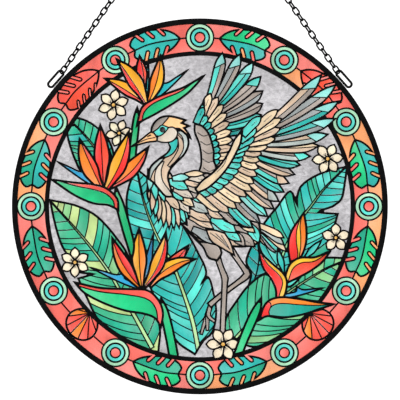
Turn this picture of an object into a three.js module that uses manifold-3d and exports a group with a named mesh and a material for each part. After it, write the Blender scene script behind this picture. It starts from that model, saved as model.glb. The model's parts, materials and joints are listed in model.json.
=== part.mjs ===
// Round stained glass panel, a wading bird among bird-of-paradise flowers, hung on two chains.
// Millimetres, +Z up. The origin is the point where a hook bears, inside the top ring. The panel
// stands in the XZ plane under it with its front towards -Y.
import * as THREE from "three";
import { mergeVertices } from "three/addons/utils/BufferGeometryUtils.js";
import Module from "manifold-3d";

const wasm = await Module();
wasm.setup();

// Panel
const PANEL_DIAMETER = 300;
const HANG_HEIGHT = 275; // from the panel's centre up to the hook point
const GLASS_THICKNESS = 3;
const FIT_GAP = 0.3; // between pieces that touch on the real panel

// Rim, a U channel of lead that the outer glass sits in
const RIM_WIDTH = 4.2;
const RIM_DEPTH = 6.4;
const RIM_WALL = 1.2;
const RING_SIDES = 40; // facets of every large circle

// Seams, the soldered lead lines between pieces of glass
const SEAM_WIDTH = 1.8;
const SEAM_PROUD = 0.9; // over each face of the glass
const RING_SEAM_WIDTH = 3.5; // the circle round the picture

// Border of roundels with a bay between each two
const BORDER_WIDTH = 22;
const ROUNDEL_COUNT = 12;
const ROUNDEL_SEAM = 1.3;
const ROUNDEL_SIDES = 10;
const BAY_EDGE_IN_RIM = 1.8; // how far a bay reaches into the rim's channel
const BAY_SHORT = 2.6; // degrees that a bay stops short of the roundel's middle

// Hanging loops, soldered to the rim's edge
const LOOP_ANGLE = 48.5; // degrees from the top
const LOOP_LENGTH = 18;
const LOOP_WIDTH = 6.4;
const LOOP_WIRE = 1.6;

// Chains and the ring they meet at
const LINK_PITCH = 5.8;
const LINK_WIDTH = 5;
const LINK_WIRE = 1.2;
const LINK_TOUCH = 0.16; // how deep two links press into each other
const LINK_SIDES = 3; // of the wire's section
const RING_DIAMETER = 20;
const RING_WIRE = 2.2;

const panelRadius = PANEL_DIAMETER / 2;
const rimInside = panelRadius - RIM_WIDTH;
const borderInside = rimInside - BORDER_WIDTH;
const pictureRadius = borderInside - RING_SEAM_WIDTH / 2; // to the middle of the circle seam
const percent = pictureRadius / 100; // the picture is drawn in percent of its radius
const smallestGlass = 60 * percent ** 2; // a smaller corner is filled with solder
const roundelOrbit = (borderInside + rimInside) / 2;
const roundelRadius = (rimInside - borderInside) / 2; // to the middle of its seam
const seamDepth = GLASS_THICKNESS + 2 * SEAM_PROUD;
const glassGap = SEAM_WIDTH / 2 + FIT_GAP;

const finish = (color, roughness, metalness = 0) =>
  new THREE.MeshStandardMaterial({ color, roughness, metalness });
const blackLead = finish(0x15171a, 0.45, 0.8);
const blackSteel = finish(0x1c1c1f, 0.4, 0.9);
const glass = {
  petals: finish(0xf6752c, 0.12),
  bloom: finish(0xfbecc9, 0.12),
  bird: finish(0xd9c3a4, 0.12),
  birdWing: finish(0xa89b8d, 0.12),
  leafTeal: finish(0x35c4b4, 0.12),
  leafGreen: finish(0x86cf96, 0.12),
  clear: finish(0xc4c2c8, 0.2),
  bay: finish(0xf9836a, 0.12),
  roundel: finish(0x8fe0c0, 0.12),
};

// Solids and outlines
function solidOf(geometry) {
  const bare = geometry.index ? geometry.toNonIndexed() : geometry.clone();
  bare.deleteAttribute("normal");
  bare.deleteAttribute("uv");
  const merged = mergeVertices(bare, 1e-4);
  return new wasm.Manifold(new wasm.Mesh({
    numProp: 3,
    vertProperties: Float32Array.from(merged.attributes.position.array),
    triVerts: Uint32Array.from(merged.index.array),
  }));
}

function meshOf(name, solid, material) {
  const { vertProperties, triVerts } = solid.getMesh();
  const geometry = new THREE.BufferGeometry();
  geometry.setAttribute("position", new THREE.BufferAttribute(vertProperties, 3));
  geometry.setIndex(new THREE.BufferAttribute(triVerts, 1));
  geometry.computeVertexNormals();
  const mesh = new THREE.Mesh(geometry, material);
  mesh.name = name;
  return mesh;
}

function slab(outline, thickness) {
  const geometry = new THREE.ExtrudeGeometry(new THREE.Shape(outline), {
    depth: thickness, bevelEnabled: false,
  });
  geometry.translate(0, 0, -thickness / 2);
  geometry.rotateX(Math.PI / 2);
  return solidOf(geometry);
}

const joined = (solids) => wasm.Manifold.union(solids);
const degrees = (angle) => (angle * Math.PI) / 180;
const clockwise = (angle, radius) => new THREE.Vector2(
  radius * Math.sin(degrees(angle)), radius * Math.cos(degrees(angle)));

// Moves each edge of an outline outwards by a distance, or inwards where it is negative
function offset(outline, distance) {
  const turn = THREE.ShapeUtils.isClockWise(outline) ? -1 : 1;
  return outline.map((point, i) => {
    const before = outline[(i + outline.length - 1) % outline.length];
    const after = outline[(i + 1) % outline.length];
    const a = point.clone().sub(before).normalize();
    const b = after.clone().sub(point).normalize();
    const normal = new THREE.Vector2(a.y + b.y, -a.x - b.x).normalize();
    const half = Math.max(Math.abs(normal.dot(new THREE.Vector2(a.y, -a.x))), 0.35);
    return point.clone().addScaledVector(normal, (turn * distance) / half);
  });
}

const drawn = ([x, z]) => new THREE.Vector2(x, z).multiplyScalar(percent);

// A leaf, petal or feather: a middle line through a few points, with a swelling width.
// foot is 0 for a pointed root and up to 0.5 for one as wide as the middle.
function blade(line, width, foot = 0.2, steps = 3) {
  const middle = new THREE.SplineCurve(line.map(drawn));
  const left = [];
  const right = [];
  for (let i = 0; i < steps; i++) {
    const t = i / steps;
    const at = middle.getPoint(t);
    const side = middle.getTangent(t);
    const half = (width / 2) * Math.sin(Math.PI * (foot + (1 - foot) * t)) * percent;
    left.push(new THREE.Vector2(at.x - side.y * half, at.y + side.x * half));
    right.unshift(new THREE.Vector2(at.x + side.y * half, at.y - side.x * half));
  }
  return [...left, middle.getPoint(1), ...right];
}

// A stem or neck: a middle line with a width that changes evenly from end to end
function strap(line, startWidth, endWidth, steps = 2) {
  const middle = new THREE.SplineCurve(line.map(drawn));
  const left = [];
  const right = [];
  for (let i = 0; i <= steps; i++) {
    const t = i / steps;
    const at = middle.getPoint(t);
    const side = middle.getTangent(t);
    const half = THREE.MathUtils.lerp(startWidth, endWidth, t) / 2 * percent;
    left.push(new THREE.Vector2(at.x - side.y * half, at.y + side.x * half));
    right.unshift(new THREE.Vector2(at.x + side.y * half, at.y - side.x * half));
  }
  return [...left, ...right];
}

// A rounded area through a few points
function area(points, steps) {
  const curve = new THREE.SplineCurve([...points, points[0]].map(drawn));
  return curve.getPoints(steps).slice(0, -1);
}

function bloom(centre, radius, petals) {
  const outline = [];
  for (let i = 0; i < 2 * petals; i++) {
    const [x, z] = centre;
    const reach = i % 2 ? 0.66 * radius : radius;
    const angle = degrees((i * 180) / petals);
    outline.push(drawn([x + reach * Math.sin(angle), z + reach * Math.cos(angle)]));
  }
  return outline;
}

// A fan of feathers whose roots and tips each follow a curve
function feathers(rootLine, tipLine, count, width) {
  const roots = new THREE.SplineCurve(rootLine.map(([x, z]) => new THREE.Vector2(x, z)));
  const tips = new THREE.SplineCurve(tipLine.map(([x, z]) => new THREE.Vector2(x, z)));
  return Array.from({ length: count }, (_, i) => {
    const root = roots.getPoint(i / (count - 1));
    const tip = tips.getPoint(i / (count - 1));
    return blade([root.toArray(), tip.toArray()], width, 0.36, 2);
  });
}

// Figures of the picture, from the front one to the back one. overBorder lets a figure cross the
// circle seam.
const birdFlowers = [
  {
    name: "flower_lower_left", material: glass.petals, outlines: [
      blade([[-36.1, -60.6], [-51.6, -38.5], [-57.4, -20.5]], 8.2),
      blade([[-35.2, -60.6], [-41.8, -35.2], [-39.7, -14.7]], 8.2),
      blade([[-34.4, -60.6], [-28.7, -36.1], [-22.1, -17.2]], 8.2),
      blade([[-32.8, -59], [-18, -41], [-7.4, -25.4]], 7.4),
      blade([[-31.1, -58.2], [-13.1, -47.5], [-3.3, -34.4]], 7.4),
      blade([[-34.4, -59.8], [-50.8, -50], [-65.5, -41]], 5.7),
      blade([[-24.6, -73.7], [-37.7, -63.9], [-61.5, -59], [-78.7, -52.4]], 13.9),
      strap([[-27, -65.5], [-22.1, -79.5], [-17.2, -97.5]], 5.7, 5.3),
    ],
  },
  {
    name: "flower_left", material: glass.petals, outlines: [
      blade([[-62.3, 11.5], [-72.1, 27.9], [-77.8, 40.1]], 7.4),
      blade([[-61.5, 11.5], [-65.5, 34.4], [-64.7, 52.4]], 6.6),
      blade([[-59.8, 11.5], [-52.4, 31.1], [-46.7, 48.3]], 7.8),
      blade([[-59, 11.5], [-45.9, 25.4], [-34.4, 38.5]], 7.4),
      blade([[-59.8, 10.7], [-75.4, 20.5], [-88.5, 27]], 5.7),
      blade([[-51.6, 0], [-63.9, 8.2], [-79.5, 10.7], [-91.8, 14.7]], 11.5),
      strap([[-54.9, 9.8], [-50.8, -4.1], [-46.7, -18], [-45.1, -34.4]], 5.3, 4.9),
    ],
  },
  {
    name: "flower_top", material: glass.petals, outlines: [
      blade([[-34.4, 65.5], [-42.6, 72.1], [-50.8, 74.6]], 7.4),
      blade([[-34.4, 65.5], [-41, 76.2], [-45.9, 80.3]], 7.4),
      blade([[-34.4, 65.5], [-38.5, 78.7], [-38.5, 86]], 7.4),
      blade([[-32.8, 65.5], [-32, 79.5], [-27, 90.9]], 7.4),
      blade([[-32, 67.2], [-22.9, 77.8], [-8.2, 89.3]], 5.3),
      blade([[-42.6, 55.7], [-31.1, 64.7], [-12.3, 74.6], [2.5, 85.2]], 11.5),
      strap([[-41, 60.6], [-41.8, 49.2], [-45.1, 20.5]], 4.1, 3.8),
    ],
  },
  {
    name: "flower_right", material: glass.petals, outlines: [
      blade([[54.1, -65.5], [47.5, -45.9], [41.8, -34.4]], 10.7),
      blade([[57.4, -65.5], [64.7, -31.1], [68, -4.1]], 12.3),
      blade([[57.4, -63.9], [70.5, -41], [83.6, -28.7]], 10.7),
      blade([[52.4, -64.7], [65.5, -57.4], [75.4, -54.9]], 5.7),
      blade([[36.9, -72.1], [50.8, -66.4], [69.6, -65.5], [87.7, -63.6]], 12.3),
      strap([[41.8, -65.5], [35.2, -78.7], [27, -95.9]], 5.7, 5.3),
    ],
  },
];

const blooms = [
  ["bloom_upper_left", [-56.5, 66.4], 9.8, 6],
  ["bloom_left", [-52.8, 47.9], 8.6, 6],
  ["bloom_lower_left", [-81.7, -36.6], 9.4, 6],
  ["bloom_right", [83.6, 31.1], 9.8, 6],
  ["bloom_lower_right", [88.9, -20.5], 9, 5],
  ["bloom_bottom", [15.2, -90.1], 10.7, 6],
].map(([name, centre, radius, petals]) => (
  { name, material: glass.bloom, outlines: [bloom(centre, radius, petals)] }
));

const bird = [
  {
    name: "bird_head_and_neck", material: glass.bird, outlines: [
      blade([[-22.1, 47.5], [-32.8, 45.1], [-43.4, 39.7]], 10.7, 0.5, 3),
      area([[-31.1, 49.2], [-26.2, 56.5], [-18, 58.2], [-9.8, 55.7], [-6.6, 49.2], [-9.8, 43.4],
        [-19.7, 41.8], [-27.9, 43.4]], 8),
      strap([[-13.1, 47.5], [-13.9, 37.7], [-22.1, 29.5], [-27.9, 19.7], [-24.6, 8.2]], 10.7, 17.2, 6),
    ],
  },
  {
    name: "near_wing_inner", material: glass.bird, outlines: [
      area([[-6.6, 4.9], [6.6, 18.8], [15.6, 27.9], [22.9, 44.2], [37.7, 59.8], [50.8, 63.1],
        [51.6, 50.8], [38.5, 30.3], [34.4, 13.9], [24.6, -0.8], [9.8, -6.6]], 12),
    ],
  },
  {
    name: "near_wing_feathers", material: glass.birdWing, overBorder: true, outlines: feathers(
      [[39.3, 55.7], [41, 45.9], [32.8, 24.6], [27.9, 8.2], [14.7, -3.3]],
      [[79.5, 85.2], [90.9, 67.2], [70.5, 32.8], [55.7, 11.5], [27.9, -12.3]], 8, 15.6),
  },
  {
    name: "bird_body", material: glass.bird, outlines: [
      blade([[-34.4, 4.9], [-11.5, 1.6], [13.1, -7.4], [41, -16.4]], 32.8, 0.16, 5),
      blade([[27.9, -9.8], [41, -18.8], [52.4, -26.2]], 14.7, 0.4, 2),
      blade([[1.6, -16.4], [5.7, -26.2], [11.5, -36.1]], 9.8, 0.4, 2),
      blade([[9.8, -11.5], [15.6, -22.9], [22.9, -33.6]], 10.7, 0.4, 2),
    ],
  },
  {
    name: "far_wing_inner", material: glass.birdWing, outlines: [
      area([[-3.3, 19.7], [0.8, 31.1], [-3.3, 50.8], [6.6, 75.4], [14.7, 67.2], [19.7, 49.2],
        [18, 34.4], [8.2, 14.7]], 14),
    ],
  },
  {
    name: "far_wing_feathers", material: glass.bird, overBorder: true, outlines: feathers(
      [[4.9, 68.8], [11.5, 57.4], [18, 39.3]],
      [[13.1, 99.1], [29.5, 95.9], [40.1, 78.7], [38.5, 55.7]], 6, 13.9),
  },
];

// Legs and toes are as thin as the seams beside them, so they are solid lead lines
const legs = [
  strap([[11.5, -32.8], [16.4, -46.7], [14.7, -74.6]], 2.9, 2.6),
  strap([[22.1, -31.1], [30.3, -44.2], [21.3, -52.4]], 2.8, 2.5),
];

const leaves = [
  {
    name: "leaf_lower_left", material: glass.leafGreen,
    outlines: [blade([[-97.5, 4.1], [-78.7, -24.6], [-57.4, -59], [-27.9, -95.9]], 54.1, 0.02, 6)],
  },
  {
    name: "leaf_middle", material: glass.leafTeal,
    outlines: [blade([[-3.3, -100.8], [-13.9, -54.1], [-29.5, -13.1], [-43.4, 24.6]], 50.8, 0.14, 6)],
  },
  {
    name: "leaf_upper_right", material: glass.leafTeal,
    outlines: [area([[90.1, 15.6], [72.1, 13.1], [50.8, 3.3], [27.9, -3.3], [18, -22.9],
      [26.2, -45.9], [29.5, -59], [49.2, -45.9], [68.8, -34.4], [86, -27.9], [86.8, -6.6]], 12)],
  },
  {
    name: "leaf_lower_right", material: glass.leafGreen,
    outlines: [blade([[22.1, -95], [45.1, -72.9], [68.8, -50.8], [95, -32.8]], 45.9, 0.1, 6)],
  },
  {
    name: "leaf_upper_left", material: glass.leafTeal,
    outlines: [blade([[-67.2, 21.3], [-75.4, 36.1], [-83.6, 47.5]], 26.2, 0.2, 4)],
  },
];

const circle = (radius, sides) =>
  Array.from({ length: sides }, (_, i) => clockwise((i * 360) / sides, radius));

// Border glass
function roundelAt(angle, radius, thickness) {
  const at = clockwise(angle, roundelOrbit);
  return slab(circle(radius, ROUNDEL_SIDES), thickness).translate([at.x, 0, at.y]);
}

function bayOutline(angle, inner, outer) {
  const half = 180 / ROUNDEL_COUNT;
  const outline = [];
  for (const share of [-1, -0.4, 0.4, 1]) {
    outline.push(clockwise(angle + share * (half - BAY_SHORT), outer));
  }
  for (const share of [1, 0.4, -0.4, -1]) {
    outline.push(clockwise(angle + share * half, inner));
  }
  return outline;
}

function borderPieces() {
  const step = 360 / ROUNDEL_COUNT;
  const cutRadius = roundelRadius + ROUNDEL_SEAM / 2;
  const pieces = [];
  for (let i = 0; i < ROUNDEL_COUNT; i++) {
    const number = String(i + 1).padStart(2, "0");
    pieces.push({
      name: `roundel_${number}`, material: glass.roundel,
      opening: roundelAt(i * step, roundelRadius - ROUNDEL_SEAM / 2, 2 * seamDepth),
      glass: roundelAt(i * step, roundelRadius - ROUNDEL_SEAM / 2 - FIT_GAP, GLASS_THICKNESS),
    });
    const middle = (i + 0.5) * step;
    const both = [i * step, (i + 1) * step];
    const bay = (gap, outer, thickness) => slab(bayOutline(middle, borderInside + gap, outer), thickness)
      .subtract(joined(both.map((angle) => roundelAt(angle, cutRadius + gap, 4 * seamDepth))));
    pieces.push({
      name: `border_bay_${number}`, material: glass.bay,
      opening: bay(0, panelRadius + RIM_WIDTH, 2 * seamDepth),
      glass: bay(FIT_GAP, rimInside + BAY_EDGE_IN_RIM, GLASS_THICKNESS),
    });
  }
  return pieces;
}

// The outlines as one cutter, grown by a distance and deep enough to pass through any slab here
const cutter = (outlines, grow) =>
  joined(outlines.map((outline) => slab(offset(outline, grow), 8 * seamDepth)));

// What is left of a figure inside its own outline, the circle seam and the figures in front of it
function cut(figure, shrink, gap, inFront, thickness) {
  const inCircle = slab(circle(borderInside - RING_SEAM_WIDTH - gap, RING_SIDES), 2 * thickness);
  const whole = joined(figure.outlines.map((outline) => slab(offset(outline, -shrink), thickness)));
  const shown = figure.overBorder ? whole : whole.intersect(inCircle);
  return shown.subtract(inFront);
}

const frontFigures = [...birdFlowers, ...blooms, ...bird];
const backFigures = [...leaves, {
  name: "background", material: glass.clear, outlines: [circle(pictureRadius * 1.1, RING_SIDES)],
}];

// Glass of the picture, each piece with the opening in the seams that it sits in
function picturePieces() {
  let seamsInFront = joined([]);
  let glassInFront = joined([]);
  const pieces = [];
  const place = (figure) => {
    pieces.push({
      ...figure,
      opening: cut(figure, SEAM_WIDTH / 2, 0, seamsInFront, 2 * seamDepth),
      glass: cut(figure, glassGap, FIT_GAP, glassInFront, GLASS_THICKNESS),
    });
    seamsInFront = seamsInFront.add(cutter(figure.outlines, SEAM_WIDTH / 2));
    glassInFront = glassInFront.add(cutter(figure.outlines, glassGap));
  };
  frontFigures.forEach(place);
  seamsInFront = seamsInFront.add(cutter(legs, 0));
  glassInFront = glassInFront.add(cutter(legs, FIT_GAP));
  backFigures.forEach(place);
  return pieces;
}

// The figures that cross the circle seam, as a cutter for the border's glass
const crossing = (grow) => cutter(
  frontFigures.filter((figure) => figure.overBorder).flatMap((figure) => figure.outlines), grow);

// One node for each separate bit of glass that is large enough
function separateGlass(piece) {
  const bits = piece.glass.decompose()
    .filter((bit) => bit.volume() > smallestGlass * GLASS_THICKNESS)
    .sort((a, b) => b.volume() - a.volume());
  return bits.map((bit, i) => ({
    name: i ? `${piece.name}_${i + 1}` : piece.name, solid: bit, material: piece.material,
  }));
}

function buildPanel() {
  const panel = new THREE.Group();
  const border = borderPieces().map((piece) => ({
    ...piece,
    opening: piece.opening.subtract(crossing(SEAM_WIDTH / 2)),
    glass: piece.glass.subtract(crossing(glassGap)),
  }));
  let seams = slab(circle(rimInside - FIT_GAP, RING_SIDES), seamDepth);
  for (const piece of [...picturePieces(), ...border]) {
    const bits = separateGlass(piece);
    const filled = piece.opening.decompose()
      .filter((hole) => bits.some(({ solid }) => hole.intersect(solid).volume() > 1));
    if (filled.length) seams = seams.subtract(joined(filled));
    for (const { name, solid, material } of bits) panel.add(meshOf(name, solid, material));
  }
  panel.add(meshOf("seam_network", seams, blackLead));
  panel.add(rimMesh());
  return panel;
}

function rimMesh() {
  const slot = GLASS_THICKNESS / 2 + FIT_GAP;
  const half = RIM_DEPTH / 2;
  const heart = panelRadius - RIM_WALL;
  const profile = [
    [rimInside, -half], [panelRadius, -half], [panelRadius, half], [rimInside, half],
    [rimInside, slot], [heart, slot], [heart, -slot], [rimInside, -slot], [rimInside, -half],
  ].map(([r, y]) => new THREE.Vector2(r, y));
  return meshOf("rim", solidOf(new THREE.LatheGeometry(profile, RING_SIDES)), blackLead);
}

// A ring of wire, pulled out along its own Y into a long loop
function wireLoop(width, length, wire, wireSides, turns) {
  const squared = turns % 4 ? 1 : Math.cos(Math.PI / turns);
  const edgeInwards = wireSides === 3 ? -1 : 1; // so that two links touch edge to edge
  const geometry = new THREE.TorusGeometry(
    (width - wire) / 2, (edgeInwards * wire) / 2, wireSides, turns);
  geometry.scale(1 / squared, 1 / squared, 1);
  geometry.rotateZ(turns % 4 ? Math.PI / 2 : Math.PI / turns);
  const position = geometry.attributes.position;
  for (let i = 0; i < position.count; i++) {
    const y = position.getY(i);
    position.setY(i, y + (Math.sign(y) * (length - width)) / 2);
  }
  return geometry;
}

const hangingRadius = panelRadius + LOOP_WIDTH / 2 + FIT_GAP;
const onPanel = ({ x, y }) => new THREE.Vector3(x, 0, y - HANG_HEIGHT);

function loopMesh(name, side) {
  const geometry = wireLoop(LOOP_WIDTH, LOOP_LENGTH, LOOP_WIRE, 5, 10);
  geometry.rotateX(Math.PI / 2);
  geometry.rotateY(side * degrees(LOOP_ANGLE - 90));
  const mesh = meshOf(name, solidOf(geometry), blackSteel);
  mesh.position.copy(onPanel(clockwise(side * LOOP_ANGLE, hangingRadius)));
  return mesh;
}

const ringMiddle = new THREE.Vector3(0, 0, -(RING_DIAMETER / 2 - RING_WIRE));

function topRing() {
  const geometry = wireLoop(RING_DIAMETER, RING_DIAMETER, RING_WIRE, 5, 14);
  geometry.rotateX(Math.PI / 2);
  const mesh = meshOf("top_ring", solidOf(geometry), blackSteel);
  mesh.position.copy(ringMiddle);
  return mesh;
}

// A chain from a loop's upper end to the ring. Its first and last links stand across the panel.
function chainMesh(name, side) {
  const along = clockwise(side * (LOOP_ANGLE - 90), (LOOP_LENGTH - LOOP_WIRE) / 2);
  const foot = onPanel(clockwise(side * LOOP_ANGLE, hangingRadius).add(along));
  const lean = Math.atan2(foot.x, ringMiddle.z - foot.z);
  const pull = new THREE.Vector3(-Math.sin(lean), 0, Math.cos(lean));
  const head = ringMiddle.clone().addScaledVector(pull, -(RING_DIAMETER - RING_WIRE) / 2);
  const start = foot.clone().addScaledVector(pull, -LOOP_WIRE / 2 - FIT_GAP);
  const end = head.clone().addScaledVector(pull, RING_WIRE / 2 + FIT_GAP);
  const span = start.distanceTo(end);
  const count = 2 * Math.round((span / LINK_PITCH - 1) / 2) + 1;
  const pitch = span / count;
  const length = pitch - LINK_TOUCH + 2 * LINK_WIRE;
  const links = [];
  for (let i = 0; i < count; i++) {
    const link = wireLoop(LINK_WIDTH, length, LINK_WIRE, LINK_SIDES, 4);
    const across = new THREE.Vector3(0, 1, 0);
    if (i % 2 === 0) across.cross(pull);
    const frame = new THREE.Matrix4().makeBasis(
      pull.clone().cross(across), pull, across);
    frame.setPosition(start.clone().addScaledVector(pull, (i + 0.5) * pitch));
    links.push(solidOf(link.applyMatrix4(frame)));
  }
  return meshOf(name, joined(links), blackSteel);
}

const part = new THREE.Group();
const panel = buildPanel();
panel.position.z = -HANG_HEIGHT;
part.add(panel, loopMesh("hanging_loop_left", -1), loopMesh("hanging_loop_right", 1));
part.add(chainMesh("chain_left", -1), chainMesh("chain_right", 1), topRing());

export default part;
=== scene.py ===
import json
import math
import bpy
import numpy as np
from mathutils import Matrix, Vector
from mathutils.geometry import delaunay_2d_cdt


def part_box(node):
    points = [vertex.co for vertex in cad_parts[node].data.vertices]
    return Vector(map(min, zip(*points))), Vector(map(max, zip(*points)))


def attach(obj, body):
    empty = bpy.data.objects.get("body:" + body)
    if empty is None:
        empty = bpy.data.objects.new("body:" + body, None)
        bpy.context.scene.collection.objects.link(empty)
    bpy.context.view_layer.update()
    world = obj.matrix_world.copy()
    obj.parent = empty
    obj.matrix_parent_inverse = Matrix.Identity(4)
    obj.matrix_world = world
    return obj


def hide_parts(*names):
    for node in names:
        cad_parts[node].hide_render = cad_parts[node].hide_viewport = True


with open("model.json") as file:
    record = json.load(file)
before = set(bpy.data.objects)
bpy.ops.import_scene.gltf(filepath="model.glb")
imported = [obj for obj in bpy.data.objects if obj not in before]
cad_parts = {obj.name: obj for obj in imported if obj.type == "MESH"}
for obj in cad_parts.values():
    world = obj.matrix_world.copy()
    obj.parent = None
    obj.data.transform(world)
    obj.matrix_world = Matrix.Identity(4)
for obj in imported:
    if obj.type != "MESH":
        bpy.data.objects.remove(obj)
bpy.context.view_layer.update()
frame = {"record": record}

# Round stained glass panel, a heron among bird-of-paradise flowers. The picture is drawn in
# millimetres from the middle of the panel, x to the right and z up, seen from the front (-Y).
mm = 0.001
rimLow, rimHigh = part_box("rim")
panelMiddle = (rimLow.z + rimHigh.z) / 2
panelRadius = (rimHigh.x - rimLow.x) / 2 / mm
rimDepth = (rimHigh.y - rimLow.y) / mm

glassBuild = {
    "thickness": 3.0,
    "clearance": 0.04,      # between a plate and the solder round it
    "smallest": 0.35,       # area of a plate. Solder fills what is smaller.
    "reachInRim": 147.2,    # radius that the border's glass ends at, inside the rim
    "shade": 0.22, "wash": 0.10,    # how far a plate darkens and pales from end to end
    "jitter": 0.06,         # of a plate's tint
}
leadBuild = {
    "outerEnd": 145.5,      # radius that the solder lines end at
    "edgeHeight": 0.22,     # of a line's edge over the glass
    "crest": 0.9, "crestShare": 0.42,   # most height of a line's middle over the glass, and that height by its width
    "figureLine": 1.8,      # width of the lines round most shapes
}

glassTints = {              # as seen with light behind
    "turquoise": (0.36, 0.88, 0.82), "teal": (0.18, 0.76, 0.72), "deepTeal": (0.08, 0.64, 0.62),
    "cyan": (0.10, 0.72, 0.74), "paleTurquoise": (0.58, 0.89, 0.86), "blue": (0.18, 0.66, 0.84),
    "blueDeep": (0.13, 0.50, 0.68), "cream": (0.95, 0.85, 0.70), "paleCream": (0.87, 0.82, 0.75),
    "tan": (0.88, 0.77, 0.66), "taupe": (0.69, 0.64, 0.60),
    "grey": (0.61, 0.64, 0.64), "paleGrey": (0.74, 0.78, 0.76), "crown": (0.60, 0.57, 0.54),
    "eye": (0.01, 0.01, 0.01), "coral": (1.0, 0.46, 0.41), "salmon": (1.0, 0.54, 0.50),
    "peach": (1.0, 0.66, 0.43), "apricot": (0.99, 0.78, 0.56), "red": (1.0, 0.20, 0.18),
    "scarlet": (1.0, 0.33, 0.22), "redLeaf": (1.0, 0.36, 0.30), "orange": (1.0, 0.54, 0.15),
    "amber": (1.0, 0.70, 0.14), "yellow": (1.0, 0.78, 0.20), "spathe": (0.10, 0.80, 0.52),
    "spatheDeep": (0.06, 0.64, 0.56), "stemGreen": (0.06, 0.70, 0.44), "leafGreen": (0.25, 0.74, 0.56),
    "leafLight": (0.56, 0.82, 0.56), "leafYellow": (0.78, 0.88, 0.58), "leafDeep": (0.12, 0.71, 0.57),
    "ribGreen": (0.60, 0.85, 0.60), "ribPale": (0.72, 0.89, 0.62), "mint": (0.69, 0.90, 0.75),
    "bloom": (1.0, 0.94, 0.82), "bloomHeart": (0.99, 0.76, 0.34), "window": (0.785, 0.775, 0.785),
}


# A smooth curve through the points
def curveRun(points, step, closed=False):
    points = np.array(points, float)
    if closed:
        around = np.vstack([points[-1:], points, points[:2]])
        spans = len(points)
    else:
        around = np.vstack([2 * points[0] - points[1], points, 2 * points[-1] - points[-2]])
        spans = len(points) - 1
    run = []
    for i in range(spans):
        before, start, end, after = around[i:i + 4]
        count = max(1, round(float(np.hypot(*(end - start)[:2])) / step))
        for t in np.arange(count) / count:
            run.append(0.5 * (2 * start + (end - before) * t + (2 * before - 5 * start + 4 * end - after) * t * t
                              + (3 * start - before - 3 * end + after) * t ** 3))
    if not closed:
        run.append(points[-1])
    return np.array(run)


def tidyLoop(points):
    kept = [points[0]]
    for point in points[1:]:
        if np.hypot(*(point - kept[-1])) > 0.08:
            kept.append(point)
    if np.hypot(*(kept[0] - kept[-1])) < 0.08:
        kept.pop()
    loop = np.array(kept)
    x, z = loop[:, 0], loop[:, 1]
    turn = np.sum(x * np.roll(z, -1) - np.roll(x, -1) * z)
    return loop if turn > 0 else loop[::-1]


# An outline through a few points. A point with a third value, or written twice, is a corner.
def outline(points, step=2.2):
    points = [point[:2] for point in points for _ in point[1:]]
    corners = [i for i in range(len(points)) if points[i] == points[i - 1]]
    if not corners:
        return tidyLoop(curveRun(points, step, closed=True))
    turned = points[corners[0]:] + points[:corners[0]]
    parts, run = [], [turned[0]]
    for point in turned[1:]:
        if point == run[-1]:
            parts.append(run)
            run = [point]
        else:
            run.append(point)
    if run[-1] != turned[0]:
        run.append(turned[0])
    parts.append(run)
    return tidyLoop(np.vstack([curveRun(part, step) for part in parts if len(part) > 1]))


# A band along a middle line of (x, z, width) points: petals, feathers, stems and ribs
def band(line, step=2.2):
    run = curveRun(line, step)
    middle, width = run[:, :2], np.maximum(run[:, 2], 0)
    along = np.gradient(middle, axis=0)
    along /= np.maximum(np.hypot(along[:, 0], along[:, 1]), 1e-6)[:, None]
    side = np.stack([-along[:, 1], along[:, 0]], 1) * (width / 2)[:, None]
    return tidyLoop(np.vstack([middle + side, (middle - side)[::-1]]))


# A band from root to tip. The places are shares of its length and of its width.
def vane(root, tip, width, bend, places):
    root, tip = np.array(root, float), np.array(tip, float)
    along = tip - root
    side = np.array([-along[1], along[0]])
    return band([(*(root + along * t + side * bend * 4 * t * (1 - t)), width * share) for t, share in places])


def petal(root, tip, width, bend=0.0, rootWidth=0.25, fullAt=0.45):
    return vane(root, tip, width, bend, [(0, rootWidth), (fullAt * 0.5, 0.5 + rootWidth / 2), (fullAt, 1.0),
                                         ((1 + fullAt) / 2, 0.72), (1, 0)])


# A scale-like feather
def feather(root, tip, width, bend, rootWidth):
    return vane(root, tip, width, bend, [(0, rootWidth), (0.45, 0.95), (0.72, 1.0), (0.88, 0.7), (0.97, 0.28), (1, 0)])


# A flight feather with a pointed end
def flight(root, tip, width, bend, rootWidth=0.6):
    return vane(root, tip, width, bend, [(0, rootWidth), (0.4, 0.86), (0.74, 1.0), (0.89, 0.70), (1, 0)])


# A flower's tongue, with a barb on one side
def arrow(root, tip, width, side=1):
    root, tip = np.array(root, float), np.array(tip, float)
    along = tip - root
    out = side * np.array([-along[1], along[0]]) / np.hypot(*along)
    places = [(0, -0.35), (0.3, -0.5), (0.62, -0.34), (1, 0), (1, 0), (0.7, 0.3), (0.5, 0.55), (0.37, 1.5), (0.37, 1.5),
              (0.34, 0.5), (0.15, 0.4), (0, 0.35)]
    return outline([tuple(root + along * t + out * width * s) for t, s in places], 2)


def circleLoop(x, z, radius, sides):
    turns = np.arange(sides) / sides * 2 * math.pi
    return np.stack([x + radius * np.cos(turns), z + radius * np.sin(turns)], 1)


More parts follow.
